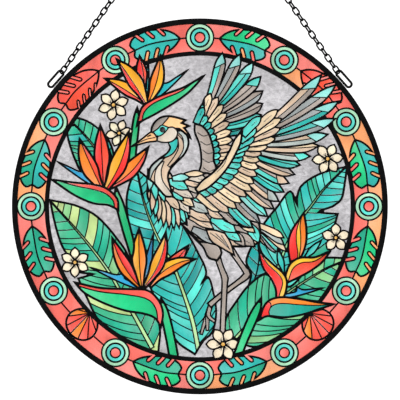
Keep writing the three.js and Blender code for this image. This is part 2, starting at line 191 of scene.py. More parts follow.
# A loop moved outwards, or inwards if the distance is below nought. Points that come too near its sides are dropped.
def shifted(loop, distance):
    before, edge = loop - np.roll(loop, 1, 0), np.roll(loop, -1, 0) - loop
    a = before / np.hypot(before[:, 0], before[:, 1])[:, None]
    b = edge / np.hypot(edge[:, 0], edge[:, 1])[:, None]
    normal = np.stack([a[:, 1] + b[:, 1], -a[:, 0] - b[:, 0]], 1)
    normal /= np.maximum(np.hypot(normal[:, 0], normal[:, 1]), 1e-6)[:, None]
    half = np.maximum(normal[:, 0] * a[:, 1] - normal[:, 1] * a[:, 0], 0.4)
    moved = loop + normal * (distance / half)[:, None]
    share = np.einsum("pek,ek->pe", moved[:, None] - loop[None], edge) / np.maximum(np.sum(edge * edge, 1), 1e-9)
    near = loop[None] + edge[None] * np.clip(share, 0, 1)[:, :, None]
    gap = np.min(np.hypot(*(moved[:, None] - near).transpose(2, 0, 1)), axis=1)
    moved = moved[gap > 0.93 * abs(distance)]
    return moved if len(moved) > 2 else None


# The drawing: every shape paints over the ones before it. A shape inside another one shows only there.
shapes = []


def paint(loop, tint, node, line=None, inside="window"):
    line = leadBuild["figureLine"] if line is None else line
    inside = window if inside == "window" else inside
    shapes.append({"loop": loop, "tint": tint, "node": node, "line": line, "inside": inside})
    return len(shapes) - 1


def area(points, tint, node, line=None, inside="window", step=2.2):
    return paint(outline(points, step), tint, node, line, inside)


def strip(line, tint, node, width=None, inside="window", step=2.2):
    return paint(band(line, step), tint, node, width, inside)


def stroke(line, width, inside, step=2.2):
    widths = width if isinstance(width, list) else [width] * len(line)
    strip([(x, z, w) for (x, z), w in zip(line, widths)], None, None, 0, inside, step)


# A slot cut into a shape from its edge, open to the ground that the shape lies on
def notch(loop, line, inside, ground):
    paint(loop, None, None, line, inside)
    shapes[-1]["ground"] = ground


def polar(angle, radius):
    return (radius * math.sin(math.radians(angle)), radius * math.cos(math.radians(angle)))


# Border: coral bays with leaf and shell motifs, and roundels
borderPlan = {
    "middle": 134.8,        # radius
    "leafLength": 39, "leafWidth": 21.5, "shellSize": 26, "shellRibs": (-62, -38, -19, -2, 15, 34, 58),
    "slots": {              # side, places along the leaf, distance of their ends from its rib, width
        "green": ((1, (-13, -4.5, 4), 4.2, 2.6), (-1, (-12, -3.5, 5), 4.0, 2.8)),
        "red": ((1, (-13.5, -6.5, 0.5), 3.2, 2.5), (-1, (-13.5, -6.5, 0.5, 7), 5.6, 2.0))},
    "slotLean": 4.0,
    "bayInner": 120.5, "bayTints": ["coral", "salmon", "coral", "peach"],
    "leafTints": {"green": ["leafDeep", "teal", "spathe"], "red": ["redLeaf", "scarlet"]},
    "roundels": ((11.0, 1.3, "mint"), (7.5, 1.4, "turquoise"), (4.0, 1.2, "coral")),    # radius, line, tint
}
windowPlan = {"radius": 122.1, "line": 3.5}
motifKinds = ["green", "red", "green", "green", "shell", "green", "green", "shell", "green", "green", "red", "green"]


def borderFrame(angle, flip):
    def place(u, v):        # u runs along the border, v outwards from its middle
        turn = angle + math.degrees(u * flip / borderPlan["middle"])
        return polar(turn, borderPlan["middle"] + v)
    return place


def monstera(angle, flip, tints, node, bay, slots):
    place, plan = borderFrame(angle, flip), borderPlan
    half, wide, lean = plan["leafLength"] / 2, plan["leafWidth"] / 2, plan["slotLean"]
    side = [(-half + 1.5, 0), (-half - 0.5, 5), (-half + 5, wide - 0.8), (-3, wide + 0.6), (8, wide - 2), (15, 4.8),
            (half, 0)]      # from the leaf's foot round to its tip
    loop = [place(*point) for point in side] + [place(half, 0)] + [place(u, -v) for u, v in reversed(side[1:-1])]
    stroke([place(-half - 6, 0), place(-half + 2, 0)], 1.2, bay)
    stroke([place(half - 2, 0), place(half + 6, 0)], 1.2, bay)
    leaf = area(loop, tints, node, 1.6, bay, step=1.8)
    stroke([place(-half + 1, 0), place(-4, 0.6), place(half, 0)], 1.2, leaf)
    for way, places, deep, width in slots:
        for u in places:
            run = [(u + lean, deep, 0.35), (u + lean * 0.9, deep + 0.9, 1), (u, wide, 1.05),
                   (u - lean * 0.4, wide + 5, 1.1)]
            notch(band([(*place(a, way * b), width * w) for a, b, w in run], 1.5), 1.2, leaf, bay)


def shellFan(angle, flip, node, bay):
    place = borderFrame(angle, flip)
    size = borderPlan["shellSize"] / 2
    for way in (1, -1):
        stroke([place(way * (size - 1), -1), place(way * 26, 0)], 1.2, bay)
    rim = [place(size * math.sin(a), size * math.cos(a) * (0.9 if math.cos(a) > 0 else 1.0) - 1.5)
           for a in np.arange(16) / 16 * 2 * math.pi]
    fan = area(rim, ["redLeaf", "orange"], node, 1.6, bay, step=1.8)
    foot = (2, -size + 0.5)
    for turn in borderPlan["shellRibs"]:
        a = math.radians(turn)
        stroke([place(*foot), place(foot[0] + 14 * math.sin(a), foot[1] + 13 * math.cos(a)),
                place(foot[0] + 27 * math.sin(a), foot[1] + 27 * math.cos(a))], [0.8, 1.0, 1.0], fan)


def drawBorder():
    for k in range(12):
        angle, node, motif = 15 + 30 * k, f"border_bay_{k + 1:02d}", motifKinds[k]
        arc = [polar(angle + a, glassBuild["reachInRim"]) for a in np.linspace(-15, 15, 17)]
        back = [polar(angle + a, borderPlan["bayInner"]) for a in np.linspace(15, -15, 13)]
        bay = paint(tidyLoop(np.array(arc + back)), borderPlan["bayTints"], node, 0, None)
        flip = -1 if k < 6 else 1
        if motif == "shell":
            shellFan(angle, flip, node, bay)
        else:
            monstera(angle, flip, borderPlan["leafTints"][motif], node, bay, borderPlan["slots"][motif])
    for k in range(12):
        x, z = polar(30 * k, borderPlan["middle"])
        for radius, line, tint in borderPlan["roundels"]:
            paint(circleLoop(x, z, radius, 44), tint, f"roundel_{k + 1:02d}", line, None)
    print("border drawn:", len(shapes), "shapes")


# Leaves: an outline, a pale rib and veins that part the strips
def leafShape(node, points, rib, ribWidth, tints, veins, ribTint="ribGreen"):
    leaf = area(points, tints, node, step=3)
    run = curveRun(rib, 1.5)
    along = np.gradient(run, axis=0)
    along /= np.hypot(along[:, 0], along[:, 1])[:, None]
    for k in range(veins):
        for side in (1, -1):
            share = (k + (0.75 if side > 0 else 0.45) + 0.22 * math.sin(5.1 * k + side)) / veins
            place = min(int(share * len(run)), len(run) - 1)
            at, way = run[place].copy(), along[place]
            out = side * np.array([-way[1], way[0]])
            path = [tuple(at)]
            for turn in np.linspace(0.62, 1.12, 6):
                at = at + 8.5 * (out * math.cos(turn) - way * math.sin(turn))
                path.append(tuple(at))
            stroke(path, 0.85, leaf, 4)
    if ribWidth > 0:
        widths = np.linspace(0.8, ribWidth, len(rib))
        strip([(x, z, w) for (x, z), w in zip(rib, widths)], ribTint, node, 1.0, leaf, step=3)
    else:
        stroke(rib, 1.2, leaf, 3)


def drawLeaves():
    leafShape("leaf_upper_left", [(-105, 69, 1), (-98, 70.5), (-88, 67), (-79, 60), (-73, 53), (-69, 42), (-70, 28),
            (-80, 20), (-92, 24), (-99, 36), (-104, 50), (-106, 60)], [(-105, 70), (-92, 57), (-82, 44), (-74, 28)],
            1.6, ["leafGreen", "teal", "leafDeep"], 8, "ribPale")
    leafShape("leaf_upper_right", [(42, -30, 1), (49, -31), (54, -42), (60, -56), (50, -62), (36, -72, 1),
            (41, -54), (37, -44)], [(48, -26), (46, -50), (38, -74)], 0, ["teal", "deepTeal"], 6)
    leafShape("leaf_upper_right", [(117.5, 32, 1), (100, 27.5), (88, 22), (80, 15), (77.5, 6), (78, 0, 1), (72, 12),
            (62, 0), (50, -16), (47, -31, 1), (52, -50), (62, -67), (86, -60), (104, -36, 1), (106, -24),
            (107, -17, 1), (110, -6, 1), (95, -4.5), (106, 0, 1), (113, 6), (115.5, 18)],
            [(117, 32), (100, 15), (90, 2), (78, -14), (68, -34), (62, -50)], 2.6, ["teal", "turquoise", "teal",
            "leafDeep"], 15)
    leafShape("leaf_lower_right", [(20, -100, 1), (21, -89), (29, -76), (39, -63), (52, -54), (60, -60), (72, -64),
            (86, -50), (98, -41.5), (120, -41.5, 1), (114, -56), (98, -74), (84, -90), (64, -104), (42, -112)],
            [(116, -43), (100, -50), (85, -59), (70, -69), (52, -83), (38, -95), (24, -110)], 2.4,
            ["leafGreen", "leafLight", "leafGreen", "leafDeep", "leafLight"], 14, "ribPale")
    leafShape("leaf_lower_left", [(-119.5, 5, 1), (-100, 1), (-85, -6), (-75, -15), (-66, -26), (-58, -38),
            (-50, -60), (-33, -92), (-33, -116, 1), (-60, -112), (-80, -92), (-90, -73), (-97, -57.5, 1),
            (-84.5, -54, 1), (-98, -51.5), (-105, -40), (-111, -29), (-116, -12)], [(-119, 4), (-100, -17),
            (-85, -35), (-72, -53), (-64, -67), (-54, -84), (-38, -113)], 3.4, ["leafLight", "leafGreen",
            "leafYellow", "leafGreen", "leafDeep"], 17, "ribPale")
    leafShape("leaf_middle", [(-51, 30, 1), (-56, 18), (-58.5, 5), (-57, -12), (-52, -34), (-42, -58), (-34, -78),
            (-26, -94), (-18, -108), (-4, -118, 1), (3, -107), (10, -100), (13, -85), (11, -70), (7, -57),
            (1, -62, 1), (5, -52), (-2, -36), (-12, -18), (-24, -2), (-34, 12), (-41, 22)],
            [(-50, 28), (-45, 5), (-38, -15), (-30, -32), (-22, -45), (-17, -58), (-10, -78), (-5, -95), (0, -121)],
            3.6, ["teal", "turquoise", "teal", "deepTeal", "teal"], 20, "ribPale")
    print("leaves drawn:", len(shapes), "shapes")


# Bird-of-paradise flowers: stem, tongues, petals in two tones from one heart, and a spathe with an edge
flowerPlan = {
    "flower_lower_left": {
        "stem": [(-31, -73, 0), (-29, -82, 5.5), (-26, -94, 6.6), (-23, -108, 6.8), (-20.5, -122, 7)],
        "stemTint": "spathe", "inside": "window",
        "tongues": [((-44, -62), (-37, -21), 5.6, 1, "blueDeep", 1.4),
                    ((-47, -65), (-88, -48.5), 4.4, -1, "blue", 1.4)],
        "petals": [     # root, tip, width, bend, tints, how far the second reaches, and its side
            ((-37, -60), (-9, -31), 10.5, -0.03, "scarlet", "red", 0.5, -1),
            ((-40, -64), (-3.5, -42), 10.5, 0.12, "orange", "amber", 0.5, 1),
            ((-44, -64), (-27, -21), 10.5, -0.06, "amber", "red", 0.42, -1),
            ((-46, -66), (-70, -25), 10.5, 0.06, "red", "orange", 0.45, 1),
            ((-46.5, -64), (-48.5, -17.5), 11.5, 0.02, "orange", "amber", 0.5, 1)],
        "spathe": [(-100, -60.5, 1), (-80, -65), (-58, -66), (-42, -67), (-33, -75), (-29.5, -85), (-31, -96, 1),
                   (-36, -89), (-45, -85.5), (-60, -83), (-77, -77), (-92, -69)],
        "edge": [(-103, -62, 1), (-80, -68), (-58, -70.5), (-42, -74), (-35, -82), (-32, -96), (-20, -80), (-36, -60),
                 (-70, -58)]},
    "flower_left": {
        "stem": [(-67, 16, 0), (-66, 9, 4), (-63.5, 0, 6.2), (-58, -20, 6.4), (-55, -32, 5), (-54.5, -43, 0)],
        "stemTint": "stemGreen", "inside": "window",
        "tongues": [((-79, 15), (-114, 36), 4.6, -1, "blue", 1.4)],
        "bud": ((-72, 24), (-79, 56), 7, -0.04),
        "petals": [
            ((-72, 15), (-41, 47.5), 11.5, -0.05, "orange", "redLeaf", 0.38, -1),
            ((-77, 18), (-79.5, 65), 12, 0.0, "scarlet", "red", 0.5, 1),
            ((-76, 12), (-56.5, 60), 13, -0.04, "amber", "red", 0.42, -1),
            ((-77, 12), (-96, 54), 12.5, 0.05, "orange", "scarlet", 0.36, -1)],
        "spathe": [(-118.5, 21.5, 1), (-100, 19), (-85, 17.5), (-74, 14), (-66, 6), (-65, -3, 1), (-73, 1),
                   (-85, 2.5), (-100, 9)],
        "edge": [(-118, 22, 1), (-100, 16.6), (-85, 13.5), (-75, 10), (-69, 4), (-67, -4), (-56, 6), (-70, 24),
                 (-100, 26)]},
    "flower_top": {     # its stem lies behind the leaves, and its petals reach over the border
        "inside": None,
        "tongues": [((-43, 90), (-41, 116), 3.2, 1, "cyan", 1.3, None),
                    ((-40, 84), (-9.5, 109), 4.6, 1, "cyan", 1.4)],
        "petals": [
            ((-44, 94), (-48, 120), 8.6, 0.02, "red", "scarlet", 0.35, -1),
            ((-41.5, 82), (-31.5, 120.5), 10.5, -0.06, "amber", "orange", 0.5, 1),
            ((-43, 81.5), (-76, 102), 9.6, -0.06, "amber", "redLeaf", 0.36, 1),
            ((-42.5, 81), (-66.5, 117.5), 11.5, -0.06, "amber", "red", 0.34, 1)],
        "spathe": [(3.5, 104.5, 1), (-13, 95), (-28, 89.5), (-38, 85), (-46.5, 78.5), (-50.5, 64, 1), (-46.5, 68),
                   (-36, 73.5), (-20, 83), (-8, 92)],
        "edge": [(2, 105, 1), (-14, 92.5), (-29, 86), (-38, 81.5), (-44.5, 75), (-48.5, 63), (-60, 70), (-44, 92),
                 (-14, 100)]},
}


def twoToned(root, tip, width, bend, upper, lower, share, side, node, inside):
    back = paint(petal(root, tip, width, bend), upper, node, None, inside)
    root, tip = np.array(root, float), np.array(tip, float)
    along = tip - root
    bow = np.array([-along[1], along[0]])
    out = bow / np.hypot(*bow) * side
    middle = [(t, root + along * t + bow * bend * 4 * t * (1 - t)) for t in (0, 0.25, 0.5, 0.75, 1)]
    inner = [m + out * width * (0.5 - share) * math.sin(math.pi * t) for t, m in middle]
    edge = [m + out * width for _, m in middle]
    paint(tidyLoop(np.vstack([curveRun(inner, 2.5), curveRun(edge, 2.5)[::-1]])), lower, node, 0.8, back)


# An area with others let into it
def inlaid(points, tint, node, inside, line, *inlays):
    base = area(points, tint, node, None, inside)
    for inlay, inlayTint in inlays:
        area(inlay, inlayTint, node, line, base)


def drawFlower(node):
    plan = flowerPlan[node]
    if "stem" in plan:
        strip(plan["stem"], plan["stemTint"], node)
    for root, tip, width, side, tint, *rest in plan["tongues"]:
        paint(arrow(root, tip, width, side), tint, node, *rest)
    if "bud" in plan:
        paint(petal(*plan["bud"]), "leafGreen", node, 1.5)
    for row in plan["petals"]:
        twoToned(*row, node, plan["inside"])
    inlaid(plan["spathe"], "spathe", node, "window", 1.0, (plan["edge"], "redLeaf"))


def drawTopStem():
    strip([(-50, 79, 0), (-50.5, 72, 3.8), (-51.5, 62, 5.2), (-53.5, 44, 5.2), (-55, 22, 5)],
          ["spathe", "stemGreen"], "flower_top")


def drawFlowerRight():
    node = "flower_right"
    paint(petal((67, -53), (62, -34), 5), "teal", node, 1.4)
    paint(petal((83, -42), (97, -27), 5), "teal", node, 1.4)
    paint(arrow((66, -72), (99, -65), 3.8, 1), "blue", node, 1.4)
    inlaid([(83, -5, 1), (85, -18), (84.5, -30), (80, -41), (72, -44, 1), (70.5, -32), (73, -20)],
           "orange", node, "window", 0.8,
           ([(83, -3, 1), (80, -14), (80.5, -24), (80, -36), (76, -48), (66, -44), (66, -16)], "yellow"),
           ([(82, -4, 1), (77.5, -18), (77, -28), (78, -40), (72, -48), (64, -40), (66, -16)], "red"))
    inlaid([(104, -35.5, 1), (92, -40.5), (80, -41), (72, -46), (68, -57), (69.5, -61, 1), (79, -56.5), (89, -51),
            (98, -44)], "scarlet", node, "window", 0.8,
           ([(106, -34, 1), (92, -43.5), (81, -45), (74, -50), (68.5, -62), (60, -50), (78, -36), (96, -34)],
            "yellow"))
    inlaid([(46.5, -29.5, 1), (50, -38), (57, -45), (66.5, -53.5), (69.5, -61), (67, -72), (61, -73, 1), (60.5, -66),
            (57, -58), (51, -50), (48, -41)], "red", node, "window", 0.8,
           ([(46, -28, 1), (49, -38), (55, -47), (62.5, -54), (66, -61), (63.5, -75), (78, -70), (74, -50),
             (56, -36)], "yellow"))
    strip([(49, -73, 0), (46, -81, 5.5), (41, -92, 7), (35, -106, 6.6), (29, -122, 6)], "spathe", node)
    inlaid([(107, -78, 1), (94, -76.5), (80, -74), (64, -72.5), (53, -77), (47, -91, 1), (54, -87.5), (68, -88.5),
            (83, -86), (95, -82)], ["spatheDeep", "teal"], node, None, 0.8,
           ([(108, -77.5, 1), (95, -79), (80, -78.5), (64, -77.5), (56, -81), (46, -95), (38, -84), (50, -66),
             (90, -66)], "orange"),
           ([(57, -79), (54, -76), (45, -80), (44, -93), (56, -92), (55, -84)], "red"))


bloomPlan = {
    "petalShare": 0.62, "heart": 0.16, "line": 1.3,
    "places": {"bloom_upper_left": (-69, 81, 12, 6, 10), "bloom_left": (-64.5, 58.5, 10.5, 6, 20),
               "bloom_lower_left": (-99.7, -44.7, 11.5, 6, 0), "bloom_right": (102, 38, 12, 6, 25),
               "bloom_lower_right": (108.5, -25, 11, 5, 0), "bloom_bottom": (18.5, -110, 13, 6, 30)},
}


def drawBlooms():
    for node, (x, z, radius, count, turn) in bloomPlan["places"].items():
        middle = np.array([x, z])
        for k in range(count):
            way = np.array(polar(turn + 360 * k / count, 1))
            side = np.array([way[1], -way[0]])
            wide = radius * bloomPlan["petalShare"] / 2 * (6 / count) ** 0.6
            loop = [middle + way * radius * a + side * wide * b for a, b in ((0.08, 0.25), (0.35, 0.75),
                    (0.62, 1.0), (0.85, 0.72), (1.04, 0), (1.04, 0), (0.85, -0.72), (0.62, -1.0), (0.35, -0.75),
                    (0.08, -0.25))]
            over = None if node == "bloom_bottom" else window
            one = area([tuple(p) for p in loop], "bloom", node, bloomPlan["line"], over, step=1.5)
            for fan in (-0.22, 0.05, 0.28):
                stroke([tuple(middle + way * radius * 0.15), tuple(middle + (way + side * fan) * radius * 0.42)],
                        [0.55, 0.2], one, 2)
        paint(circleLoop(x, z, radius * bloomPlan["heart"], 20), "bloomHeart", node, 1.2)


# The heron
heronPlan = {
    "flightLine": 1.5, "scaleLine": 1.3, "bodyLine": 1.25,     # widths of the lines round them
    "primaries": [   # tip, then tints of the upper half, lower half and tip, from the top feather down
        ((97, 105), "tan", "taupe", "paleTurquoise"), ((108.5, 97), "grey", "taupe", "paleTurquoise"),
        ((111, 84), "grey", "teal", "paleTurquoise"), ((108, 70), "teal", "grey", "paleTurquoise"),
        ((102, 57.5), "tan", "paleGrey", "paleTurquoise"), ((95, 48.5), "cream", "tan", "tan"),
        ((88, 40), "taupe", "paleGrey", "turquoise"), ((80, 33), "turquoise", "teal", "turquoise"),
        ((75.5, 25.5), "taupe", "tan", "taupe"), ((71, 18.5), "taupe", "turquoise", "tan"),
        ((67, 11.5), "turquoise", "teal", "turquoise"), ((63, 4), "grey", "tan", "paleGrey"),
        ((59, -2), "taupe", "tan", "tan"), ((54, -8), "turquoise", "paleTurquoise", "paleTurquoise"),
        ((48, -13), "grey", "taupe", "taupe"), ((42, -17), "turquoise", "teal", "turquoise"),
        ((33, -15), "taupe", "taupe", "taupe")],
    "farPrimaries": [
        ((18, 122.5), "turquoise", "taupe", "paleTurquoise"), ((32, 121.5), "grey", "taupe", "paleTurquoise"),
        ((42.5, 115), "turquoise", "teal", "paleTurquoise"), ((48.5, 103.5), "taupe", "taupe", "turquoise"),
        ((50, 92), "taupe", "grey", "taupe"), ((50, 82), "taupe", "taupe", "taupe"),
        ((49, 73), "teal", "turquoise", "teal"), ((44, 66), "teal", "deepTeal", "teal")],
    "body": [   # root, tip, width, tint, from the back to the front
        ((38, -14), (47, -29), 9, "turquoise"), ((28, -22), (44, -32), 9, "taupe"),
        ((24, -20), (36, -32), 8, "taupe"), ((-14, -10), (10, -29), 12, "taupe"), ((-6, -18), (14, -31), 8, "grey"),
        ((30, -12), (44, -21), 7, "cream"), ((18, -19), (33, -28), 7.5, "turquoise"),
        ((26, -8), (40, -17), 8, "taupe"), ((6, -14), (21, -26), 8.5, "paleTurquoise"),
        ((9, -9), (29, -21), 10.5, "turquoise"), ((-8, -8), (11, -18), 7.5, "tan"),
        ((14, -3), (30, -14), 9, "taupe"), ((-10, -4), (9, -12.5), 7.5, "tan"),
        ((-21, -4), (-10, -15), 6.5, "turquoise"), ((4, -1), (19, -10), 9, "tan"),
        ((-20, 0), (-9, -10), 6.0, "turquoise"), ((-19, 2), (-11.5, -14), 5, "turquoise"),
        ((-23, 6), (-16.5, -17.5), 5.4, "tan"), ((-26, 6), (-20.5, -18.5), 5, "turquoise"),
        ((-28, 8), (-24.5, -18), 5.2, "tan"), ((-31, 8), (-29, -16), 4.8, "cream"),
        ((-34, 10), (-33, -12.5), 5, "tan"), ((-36, 12), (-35.8, -9), 4.4, "turquoise"),
        ((-38, 14), (-38.5, -5), 4.8, "tan"), ((-11, 4), (7, -5.5), 8.5, "paleGrey"),
        ((-19, 6), (-8, -5.5), 7, "paleCream"), ((-27, 8), (-16, -3), 7, "tan"),
        ((-18, 9), (-4.5, -0.5), 7, "cream"), ((-9, 12), (4, 2), 7.5, "turquoise"), ((-12, 12), (-1, 7), 6, "taupe"),
        ((-23, 12), (-13, 4.5), 6, "turquoise"), ((-21, 14), (-5, 6.5), 7, "paleCream"),
        ((-10, 15), (3, 12), 6.5, "paleCream"), ((-12, 19), (2, 17), 6.5, "tan"),
        ((-9, 23), (6, 21), 7, "paleCream"), ((-12, 25), (4, 26), 5, "cream"),
        ((-25, 20), (-9, 13.5), 8, "turquoise"), ((-22, 22), (-8, 23), 6, "paleTurquoise"),
        ((-36, 22), (-28, 3), 6, "turquoise"), ((-39, 24), (-35, 4), 5.5, "turquoise"),
        ((-40, 30), (-40.5, 12), 5.5, "paleTurquoise")],
}


# Points at even shares of the way from point to point, however far apart those are
def spread(points, count):
    points = np.array(points, float)
    places = np.linspace(0, len(points) - 1, count)
    return np.stack([np.interp(places, range(len(points)), points[:, axis]) for axis in (0, 1)], 1)


def featherRow(roots, tips, width, tints, node, rootWidth):
    starts = spread(roots, len(tips))
    for k in range(len(tips) - 1, -1, -1):
        root, tip = starts[k], np.array(tips[k])
        one = paint(feather(root, tip, width, 0.01, rootWidth), tints[k % len(tints)], node, heronPlan["scaleLine"])
        stroke([tuple(root * 0.5 + tip * 0.5), tuple(root * 0.22 + tip * 0.78)], [0.5, 0.3], one, 3)


# Flight feathers in two tones with a tip of a third
def flightRow(roots, feathers, width, node, bend):
    starts = spread(roots, len(feathers))
    for k in range(len(feathers) - 1, -1, -1):
        tip, upper, lower, end = feathers[k]
        root, tip = starts[k], np.array(tip, float)
        along = tip - root
        length = np.hypot(*along)
        side = np.array([-along[1], along[0]]) / length
        one = paint(flight(root, tip, width, bend, 0.55), upper, node, heronPlan["flightLine"], None)
        rows = [(t, root + along * t + side * length * bend * 4 * t * (1 - t)) for t in (0, 0.35, 0.7, 1.02)]
        strip([(*m - side * width * (0.46 + 0.12 * t), width) for t, m in rows], lower, node, 0.8, one, step=3)
        if end not in (upper, lower):
            patch = [root + along * t + side * width * a for t, a in ((0.66, 0.6), (0.74, 1), (1.1, 1), (1.1, -1),
                    (0.95, -1), (0.88, -0.7))]
            paint(tidyLoop(np.array(patch)), end, node, 0.8, one)


def drawFarWing():
    node = "far_wing_feathers"
    flightRow([(5, 78), (12, 76), (17, 69), (19, 58)], heronPlan["farPrimaries"], 8.6, node, -0.03)
    coverts = [(8.5, 90), (14.5, 87), (18.5, 81), (21.5, 74), (23.5, 67), (25, 60), (26, 53.5), (26, 47), (25, 41),
            (22, 36)]
    featherRow([(1, 70), (5, 62), (8, 50), (7, 32)], coverts, 6.4, ["cream", "tan", "cream"], node, 0.8)
    node = "far_wing_inner"
    paint(petal((-3, 64), (3.5, 84), 5, 0.0, 0.5), "turquoise", node, 1.5)
    small = [(3, 79), (6, 72), (9, 66.5), (11.5, 61), (13.5, 56), (15.2, 50.5), (16.4, 45.5), (16.6, 40.5),
            (16, 36), (14.5, 31.5)]
    featherRow([(-3, 66), (0, 56), (4, 44), (5, 30)], small, 5.8, ["teal", "turquoise", "teal"], node, 0.9)
    inner = area([(-3, 18), (1, 34), (0, 48), (-4, 59), (-4, 66, 1), (2, 64), (7, 58), (9.5, 51), (11, 44),
            (11, 37), (13, 30), (12, 18)], "taupe", node, step=2)
    for x, z in ((4, 58), (6.5, 51), (8, 44), (8, 37), (8.5, 30)):
        stroke([(x - 6, z + 1), (x - 1, z - 2), (x + 4, z)], 0.6, inner)


def drawLegs():
    node = "bird_legs"
    for end in ((1, -102), (6, -99), (12, -92)):
        strip([(8.5, -79, 3.4), (5.5 + end[0] * 0.12, -87, 3.1), (*end, 2.1)], "taupe", node, 1.1, step=2)
    strip([(24, -33, 5), (31, -43.5, 4), (35.5, -50, 4.2), (37.8, -54, 5.4), (34.5, -57.6, 4.6), (30, -61, 3.8),
            (18, -70, 3.8), (7.5, -79, 4.4)], "taupe", node, 1.4, step=2)
    strip([(13, -36, 5), (15.5, -45, 4.2), (18.5, -53, 4.4), (20, -57.5, 5.2), (19.8, -62, 4.2), (19, -80, 4),
            (18, -103, 4)], "taupe", node, 1.4, step=2)


def drawBody():
    node = "bird_body"
    for tip, tint in (((54, -32), "cream"), ((60, -37), "grey"), ((64.5, -37.5), "turquoise"), ((69, -36), "cream"),
            ((67, -30.5), "paleGrey"), ((67, -25), "cream")):
        paint(flight((41, -13), tip, 5.4, 0.03), tint, node, 1.3)
    paint(flight((0, -22), (14, -43), 12, 0.06, 0.9), "taupe", node)
    area([(-42, 10), (-41, 20), (-38, 27), (-30, 30), (-24, 27), (-20, 20), (-17, 19), (-8, 24.5), (0, 26.5),
            (8, 26), (18, 20), (30, 8), (44, -8), (48, -18), (46, -29), (34, -32), (20, -31), (8, -29), (-2, -27),
            (-12, -17), (-22, -8), (-34, 0), (-40, 4)], ["tan", "taupe"], node)
    for root, tip, width, tint in heronPlan["body"]:
        one = paint(petal(root, tip, width, 0.04, 0.6, 0.5), tint, node, heronPlan["bodyLine"])
        root, tip = np.array(root, float), np.array(tip, float)
        if width > 6.4:
            stroke([tuple(root * 0.5 + tip * 0.5), tuple(root * 0.18 + tip * 0.82)], [0.5, 0.3], one, 3)
    thigh = area([(27.5, -39, 1), (18, -33.5), (9, -27.5), (5, -18.5, 1), (12, -19), (20, -21.5, 1), (24.5, -29)],
            "tan", node, 1.5)
    for start in ((8, -21), (12.5, -21.5), (17, -23)):
        stroke([start, (start[0] * 0.5 + 11.5, start[1] * 0.5 - 16), (24.5, -35)], [0.6, 0.7, 0.3], thigh)


def drawNearWing():
    flightRow([(43, 57), (38, 52), (35, 49), (31, 45), (26, 38), (18, 26), (5, 12)], heronPlan["primaries"], 8.8,
            "near_wing_feathers", -0.035)
    node = "near_wing_inner"
    coverts = [(62, 77), (65, 70), (64, 62), (60, 54), (54, 47.5), (49, 42), (47.5, 36.5), (46.5, 30.5),
            (45.5, 24.5), (43, 18.5), (41.5, 12.5), (37, 8), (33, 3), (29, -1.5), (23, -5), (15.5, -4)]
    featherRow([(40, 58), (36, 51), (32, 46), (27, 40), (21, 33), (14, 24), (6, 16), (-2, 9)], coverts, 7.0,
            ["cream", "cream", "tan"], node, 0.7)
    small = [(48.5, 71.5), (45, 62), (43.5, 55), (39.5, 49), (36, 43.5), (34.5, 38), (33, 32.5), (30.5, 27.5),
            (27, 23), (23, 19), (18.5, 15), (13, 11), (8, 9)]
    featherRow([(34, 57), (29, 46), (25, 39), (20, 29), (12, 20), (0, 14)], small, 6.9,
            ["turquoise", "turquoise", "teal"], node, 0.9)
    arm = strip([(-2.5, 12.5, 3.5), (4, 17.5, 7.2), (12, 24, 6.6), (20, 33, 5.8), (26, 43, 5.4), (30, 52, 5.4),
            (34, 61, 0)], "cream", node, step=2)
    stroke([(12, 26), (19, 33), (22, 40)], [0.3, 0.7, 0.3], arm)


